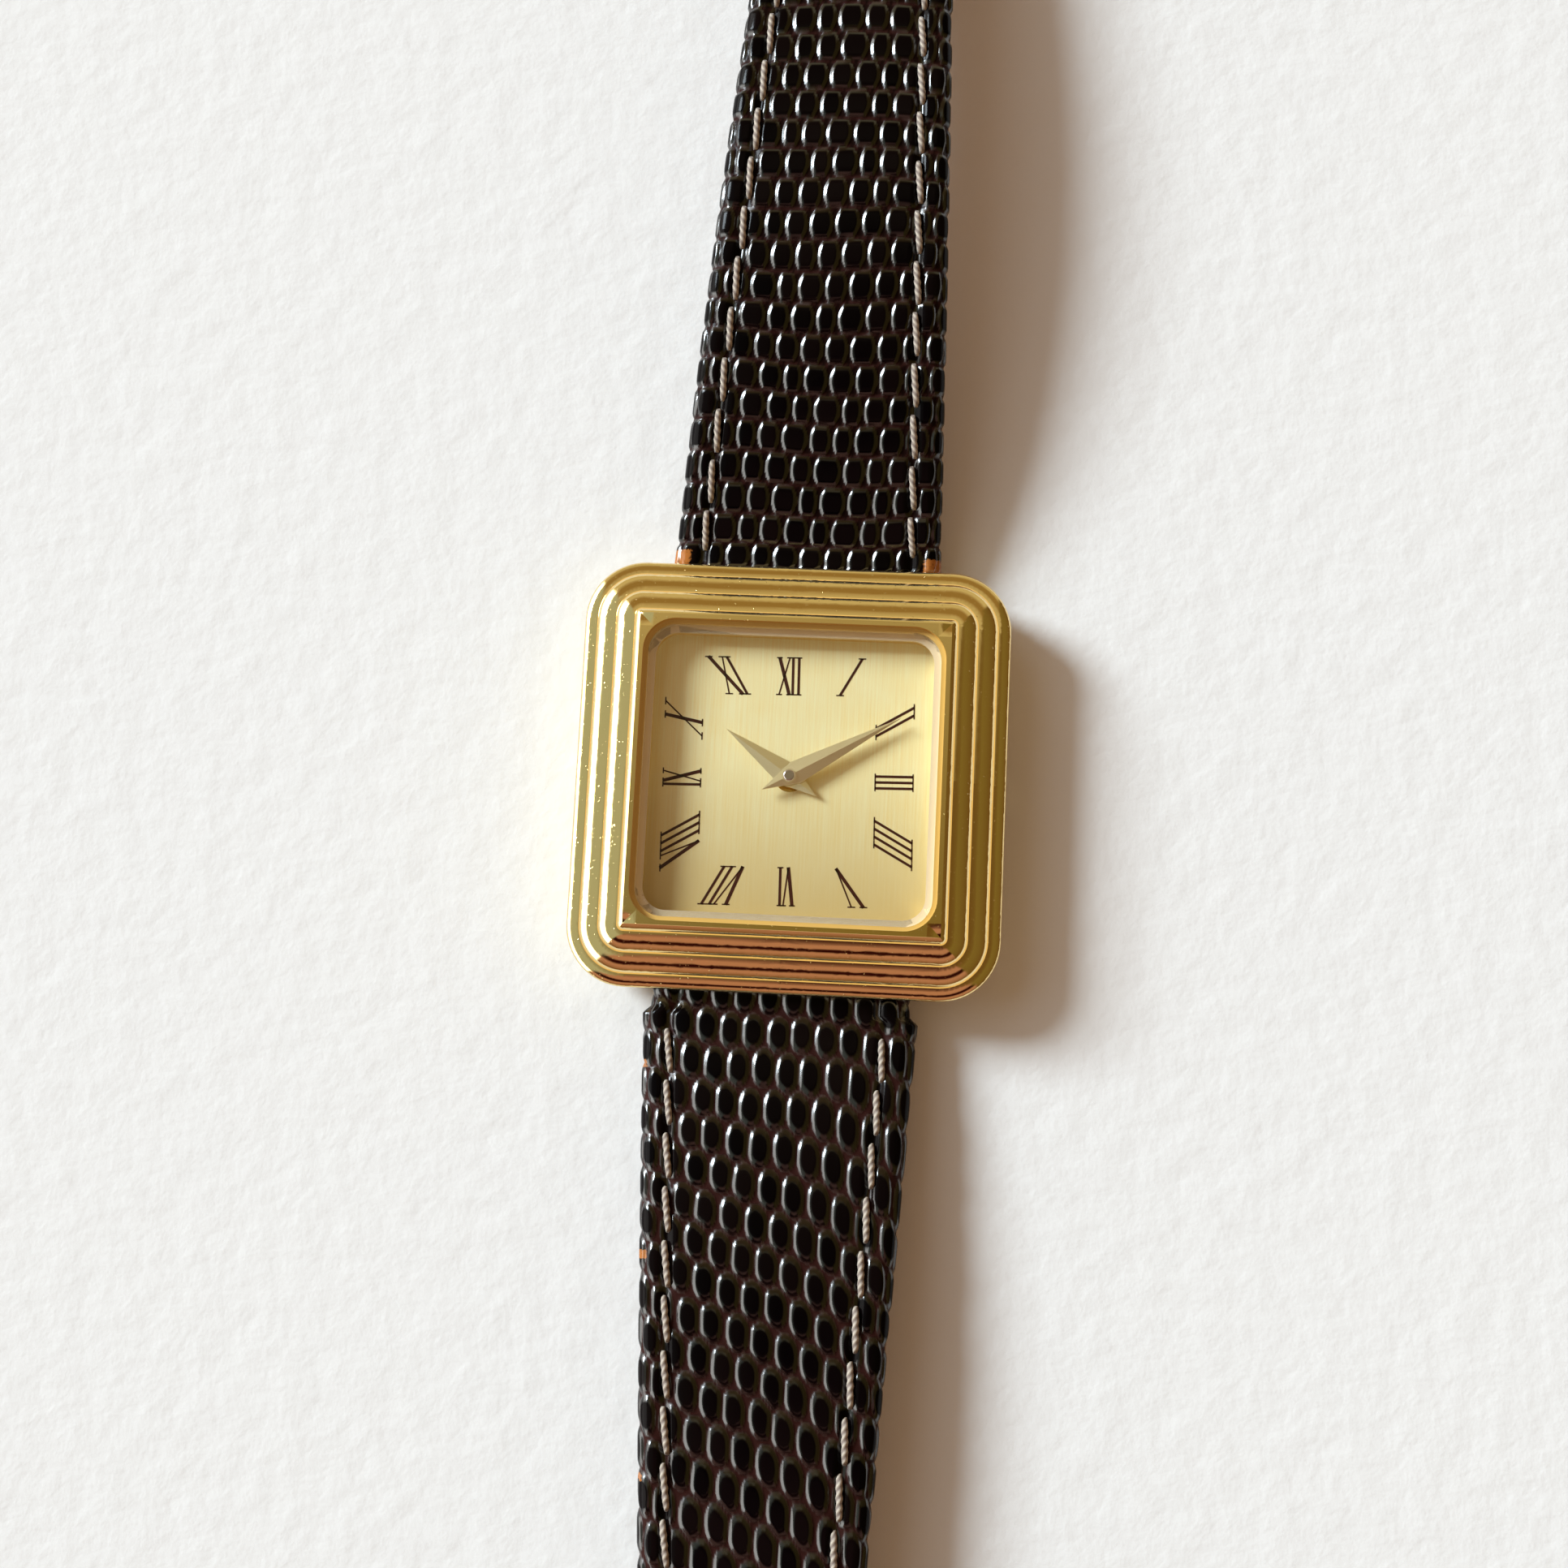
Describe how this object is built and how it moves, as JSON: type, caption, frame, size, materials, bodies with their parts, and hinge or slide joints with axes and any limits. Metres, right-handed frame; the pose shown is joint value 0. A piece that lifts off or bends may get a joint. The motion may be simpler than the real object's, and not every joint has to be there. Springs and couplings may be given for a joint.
{
  "type": "square wristwatch",
  "caption": "Slim square quartz wristwatch: stepped gold case, brushed dial with roman numerals and ridged hands, dark lizard-grain strap with a pin buckle.",
  "frame": {"origin": "centre of the case back's outer face, where the watch rests", "axes": "+Z out of the dial, +Y towards 12 o'clock along the strap, +X towards 3 o'clock and the crown"},
  "size_m": [0.027, 0.2197, 0.0078],
  "materials": {
    "gold_plate": "polished gold plate with fine wear scratches",
    "glass": "clear, polished, bevelled edge",
    "glass_gasket": "pale pinkish plastic gasket",
    "brushed_dial": "pale gold, brushed up and down",
    "hand_metal": "satin silver grey, ridged",
    "case_back_steel": "satin steel",
    "seal_rubber": "black sealing rubber",
    "holder_plastic": "moulded plastic",
    "plate_brass": "machined, plated",
    "wheel_brass": "cut and polished",
    "steel": "turned and stamped",
    "rotor_magnet": "dark sintered magnet",
    "motor_iron": "soft iron, stamped",
    "coil_copper": "enamelled copper wire",
    "board_laminate": "green laminate",
    "chip_black": "black cover",
    "can_metal": "bright plated can",
    "battery_steel": "plated steel cell",
    "lizard_leather": "dark brown lizard grain, glazed, beige stitching",
    "keeper_leather": "dark brown leather, glazed",
    "lining_leather": "plain tan leather"
  },
  "bodies": {
    "case": {"stepped_case": "gold_plate", "crystal": "glass", "crystal_gasket": "glass_gasket", "dial_ring": "brushed_dial", "dial": "brushed_dial", "case_back": "case_back_steel", "back_gasket": "seal_rubber", "movement_holder": "holder_plastic", "main_plate": "plate_brass", "train_bridge": "plate_brass", "bridge_screws": "steel", "stator": "motor_iron", "coil_core": "motor_iron", "coil_winding": "coil_copper", "circuit_board": "board_laminate", "circuit_chip": "chip_black", "quartz_can": "can_metal", "battery": "battery_steel", "battery_clamp": "steel", "clamp_screw": "steel", "crown_tube": "steel", "spring_bar_12": "steel", "spring_bar_6": "steel"},
    "centre": {"centre_wheel": "wheel_brass"},
    "minute": {"cannon_pinion": "wheel_brass", "minute_hand": "hand_metal"},
    "hour": {"hour_wheel": "wheel_brass", "hour_hand": "hand_metal"},
    "minute_wheel": {"minute_wheel": "wheel_brass"},
    "third": {"third_wheel": "wheel_brass"},
    "step": {"step_wheel": "wheel_brass"},
    "rotor": {"rotor": "rotor_magnet"},
    "clutch": {"sliding_pinion": "steel"},
    "crown": {"crown": "gold_plate", "stem": "steel", "crown_seal": "seal_rubber"},
    "lever": {"setting_lever": "steel"},
    "strap_12": {"strap_12_top": "lizard_leather", "strap_12_lining": "lining_leather", "fixed_keeper": "keeper_leather", "buckle_bar": "gold_plate"},
    "free_keeper": {"free_keeper": "keeper_leather"},
    "buckle_frame": {"buckle_frame": "gold_plate"},
    "buckle_tongue": {"buckle_tongue": "gold_plate"},
    "strap_6": {"strap_6_top": "lizard_leather", "strap_6_lining": "lining_leather"}
  },
  "joints": [
    {"name": "minute_turn", "type": "hinge", "parent": "case", "child": "minute", "pos_m": [0, 0, 0.002], "axis": [0, 0, -1], "continuous": true},
    {"name": "hour_turn", "type": "hinge", "parent": "case", "child": "hour", "pos_m": [0, 0, 0.002], "axis": [0, 0, -1], "continuous": true},
    {"name": "minute_wheel_turn", "type": "hinge", "parent": "case", "child": "minute_wheel", "pos_m": [-0.0017, 0.0017, 0.002], "axis": [0, 0, -1], "continuous": true},
    {"name": "centre_turn", "type": "hinge", "parent": "case", "child": "centre", "pos_m": [0, 0, 0.002], "axis": [0, 0, -1], "continuous": true},
    {"name": "third_turn", "type": "hinge", "parent": "case", "child": "third", "pos_m": [0.00112, 0.00194, 0.002], "axis": [0, 0, -1], "continuous": true},
    {"name": "step_turn", "type": "hinge", "parent": "case", "child": "step", "pos_m": [0.00271, 0.00353, 0.002], "axis": [0, 0, -1], "continuous": true},
    {"name": "rotor_turn", "type": "hinge", "parent": "case", "child": "rotor", "pos_m": [0.00089, 0.00458, 0.002], "axis": [0, 0, -1], "continuous": true},
    {"name": "crown_turn", "type": "hinge", "parent": "case", "child": "clutch", "pos_m": [0, 0, 0.00185], "axis": [1, 0, 0], "continuous": true},
    {"name": "crown_pull", "type": "slide", "parent": "clutch", "child": "crown", "axis": [1, 0, 0], "range_m": [0, 0.0008]},
    {"name": "lever_swing", "type": "hinge", "parent": "case", "child": "lever", "pos_m": [0.008, 0.002, 0.00185], "axis": [0, 0, 1], "range_deg": [0, 27]},
    {"name": "strap_12_hinge", "type": "hinge", "parent": "case", "child": "strap_12", "pos_m": [0, 0.0116, 0.0018], "axis": [1, 0, 0], "range_deg": [-60, 0]},
    {"name": "strap_6_hinge", "type": "hinge", "parent": "case", "child": "strap_6", "pos_m": [0, -0.0116, 0.0018], "axis": [-1, 0, 0], "range_deg": [-60, 0]},
    {"name": "free_keeper_slide", "type": "slide", "parent": "strap_12", "child": "free_keeper", "axis": [0, -0.9816, 0.1908], "range_m": [0, 0.006]},
    {"name": "buckle_frame_hinge", "type": "hinge", "parent": "strap_12", "child": "buckle_frame", "pos_m": [0.002, 0.08661, 0.00099], "axis": [1, 0, 0], "range_deg": [-60, 30]},
    {"name": "tongue_hinge", "type": "hinge", "parent": "buckle_frame", "child": "buckle_tongue", "pos_m": [0.002, 0.08661, 0.00099], "axis": [1, 0, 0], "range_deg": [0, 80]}
  ],
  "couplings": [
    {"joint": "hour_turn", "follows": "minute_turn", "ratio": 0.083333},
    {"joint": "minute_wheel_turn", "follows": "minute_turn", "ratio": -0.33333},
    {"joint": "centre_turn", "follows": "step_turn", "ratio": 0.066667},
    {"joint": "third_turn", "follows": "step_turn", "ratio": -0.2},
    {"joint": "rotor_turn", "follows": "step_turn", "ratio": -6},
    {"joint": "lever_swing", "follows": "crown_pull", "rad_per_m": 578}
  ]
}
